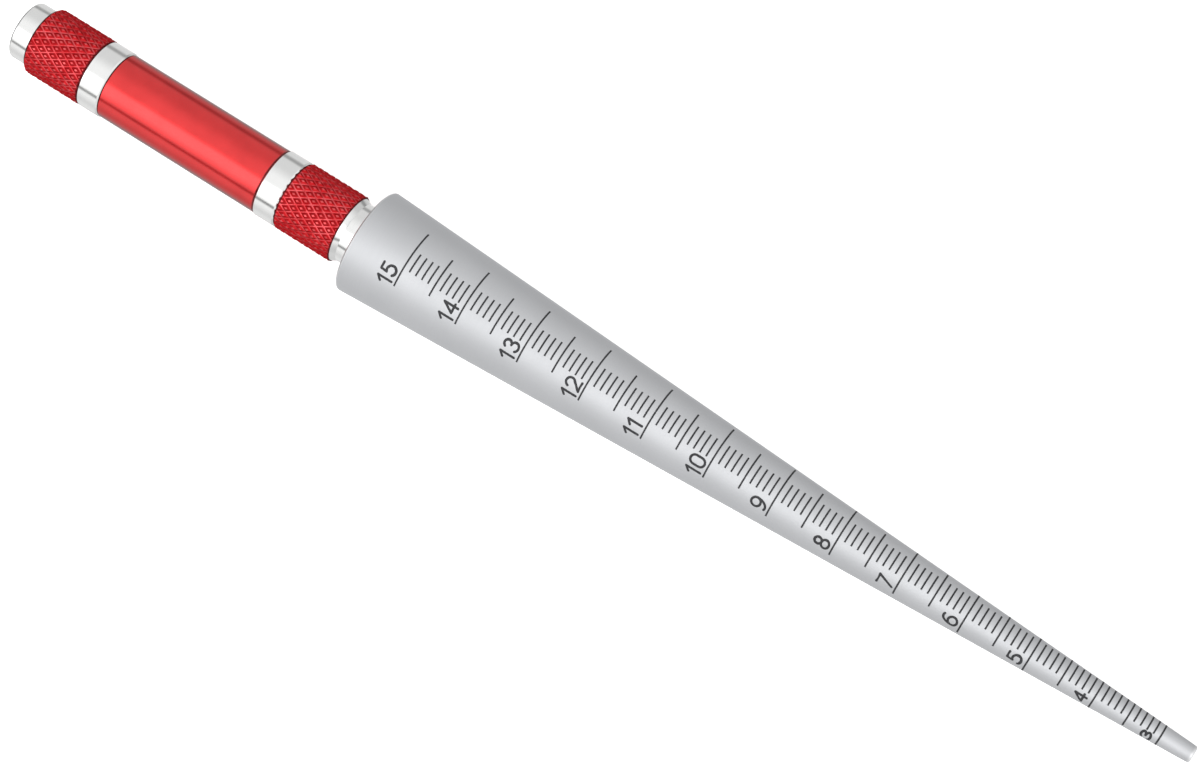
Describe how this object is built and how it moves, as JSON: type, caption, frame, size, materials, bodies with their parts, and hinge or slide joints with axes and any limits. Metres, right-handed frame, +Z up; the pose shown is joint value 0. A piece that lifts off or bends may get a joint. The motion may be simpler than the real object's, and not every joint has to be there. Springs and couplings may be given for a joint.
{
  "type": "ring mandrel",
  "caption": "Slender tapered steel ring mandrel with a millimetre diameter scale and a red anodised knurled handle with bright bands.",
  "frame": {"origin": "centre of the flat tail face", "axes": "+X along the tool's axis from the tail face to the tip of the cone; +Z up, with the scale of the cone facing up"},
  "size_m": [0.192, 0.0158, 0.0158],
  "materials": {
    "satin_chrome": "satin hard chrome",
    "turned_aluminium": "bright turned",
    "red_anodised": "gloss anodised",
    "plain_steel": "machined",
    "scale_ink": "matt"
  },
  "bodies": {
    "root": {"mandrel_cone": "satin_chrome", "tie_rod": "plain_steel", "front_collar": "turned_aluminium", "front_knurled_sleeve": "red_anodised", "front_ring": "turned_aluminium", "barrel": "red_anodised", "rear_ring": "turned_aluminium", "rear_knurled_sleeve": "red_anodised", "spring_washer": "plain_steel", "tail_cap": "turned_aluminium"}
  },
  "joints": []
}
